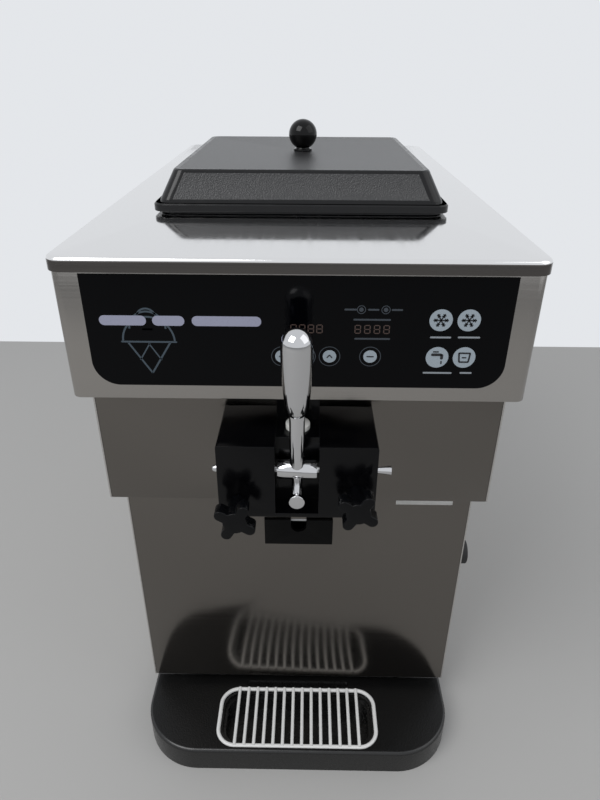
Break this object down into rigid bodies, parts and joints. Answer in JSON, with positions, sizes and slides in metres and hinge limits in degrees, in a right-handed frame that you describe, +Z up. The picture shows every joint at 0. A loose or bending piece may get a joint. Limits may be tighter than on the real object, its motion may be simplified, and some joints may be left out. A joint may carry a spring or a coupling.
{
  "type": "ice cream maker",
  "caption": "Countertop soft-serve ice cream maker: hopper under a lid with a ball knob, dispensing head with draw lever, touch control panel and drip tray.",
  "frame": {"origin": "middle of the footprint, on the worktop under the feet and the drip tray", "axes": "+X to the right seen from the customer's side, +Y from the dispensing head to the rear panel, +Z up"},
  "size_m": [0.405, 0.7624, 0.726],
  "materials": {
    "stainless": "satin",
    "zinc": "satin",
    "steel": "satin",
    "screw_steel": "polished",
    "chrome": "polished",
    "overlay": "gloss",
    "board": "satin",
    "display": "satin",
    "black_gloss": "gloss",
    "black_textured": "satin",
    "black_rubber": "matte",
    "white_plastic": "satin",
    "white_wire": "satin",
    "grey_plastic": "matte",
    "foam": "matte",
    "copper": "satin",
    "cast": "matte",
    "dark_metal": "satin",
    "fins": "satin",
    "dark_plastic": "satin"
  },
  "bodies": {
    "machine": {"top_panel": "stainless", "front_housing": "stainless", "control_overlay": "overlay", "control_board": "board", "display_modules": "display", "mid_front_panel": "stainless", "lower_front_panel": "stainless", "side_panel_left": "stainless", "side_panel_right": "stainless", "rear_panel": "stainless", "base_pan": "zinc", "chassis_frame": "zinc", "foot_stems": "screw_steel", "foot_pads": "black_rubber", "panel_screws": "screw_steel", "hopper": "steel", "hopper_collar": "black_rubber", "freezing_cylinder": "steel", "evaporator_coil": "copper", "cylinder_insulation": "foam", "shaft_seal": "black_rubber", "gearbox": "cast", "drive_motor": "dark_metal", "motor_shelf": "zinc", "front_head": "black_gloss", "head_seal": "black_rubber", "head_studs": "screw_steel", "nozzle": "black_gloss", "pivot_pin": "chrome", "drawer_guide": "zinc", "compressor": "dark_metal", "compressor_grommets": "black_rubber", "condenser": "fins", "fan_shroud": "dark_plastic", "fan_motor": "dark_metal", "suction_line": "copper", "discharge_line": "copper", "filter_drier": "copper", "capillary_tube": "copper", "electrical_box": "zinc", "cord_gland": "dark_plastic", "side_bumper": "black_rubber"},
    "lid": {"hopper_lid": "black_textured", "lid_knob": "black_gloss", "lid_knob_screw": "screw_steel"},
    "feed_tube": {"feed_tube": "white_plastic"},
    "dasher": {"dasher_shaft": "steel", "dasher_spiral": "steel", "scraper_blades": "white_plastic"},
    "left_knob": {"left_knob": "black_gloss"},
    "right_knob": {"right_knob": "black_gloss"},
    "piston": {"draw_piston": "white_plastic", "piston_seals": "black_rubber"},
    "lever": {"lever_arm": "chrome", "lever_handle": "chrome"},
    "stop_screw": {"stop_screw": "chrome"},
    "tray": {"drip_tray": "black_textured"},
    "grille": {"drip_grille": "white_wire"},
    "drawer": {"drip_drawer": "grey_plastic"},
    "fan": {"fan_blades": "dark_plastic"}
  },
  "joints": [
    {"name": "lid_lift", "type": "slide", "parent": "machine", "child": "lid", "axis": [0, 0, 1], "range_m": [0, 0.12]},
    {"name": "feed_tube_lift", "type": "slide", "parent": "machine", "child": "feed_tube", "axis": [0, 0, 1], "range_m": [0, 0.05]},
    {"name": "beater_spin", "type": "hinge", "parent": "machine", "child": "dasher", "pos_m": [0, -0.2748, 0.46], "axis": [0, 1, 0], "continuous": true},
    {"name": "left_knob_turn", "type": "hinge", "parent": "machine", "child": "left_knob", "pos_m": [-0.0525, -0.3473, 0.439], "axis": [0, 1, 0], "continuous": true},
    {"name": "right_knob_turn", "type": "hinge", "parent": "machine", "child": "right_knob", "pos_m": [0.0525, -0.3473, 0.4505], "axis": [0, 1, 0], "continuous": true},
    {"name": "lever_pull", "type": "hinge", "parent": "machine", "child": "lever", "pos_m": [0, -0.3368, 0.468], "axis": [1, 0, 0], "range_deg": [0, 28]},
    {"name": "piston_lift", "type": "slide", "parent": "machine", "child": "piston", "axis": [0, 0, 1], "range_m": [0, 0.0134]},
    {"name": "stop_screw_turn", "type": "hinge", "parent": "lever", "child": "stop_screw", "pos_m": [0, -0.3443, 0.444], "axis": [0, 1, 0], "continuous": true},
    {"name": "tray_slide", "type": "slide", "parent": "machine", "child": "tray", "axis": [0, -1, 0], "range_m": [0, 0.15]},
    {"name": "grille_lift", "type": "slide", "parent": "tray", "child": "grille", "axis": [0, 0, 1], "range_m": [0, 0.06]},
    {"name": "drawer_slide", "type": "slide", "parent": "machine", "child": "drawer", "axis": [0, -1, 0], "range_m": [0, 0.24]},
    {"name": "fan_spin", "type": "hinge", "parent": "machine", "child": "fan", "pos_m": [-0.141, -0.0208, 0.183], "axis": [1, 0, 0], "continuous": true}
  ],
  "couplings": [
    {"joint": "piston_lift", "follows": "lever_pull", "m_per_rad": 0.027227}
  ]
}
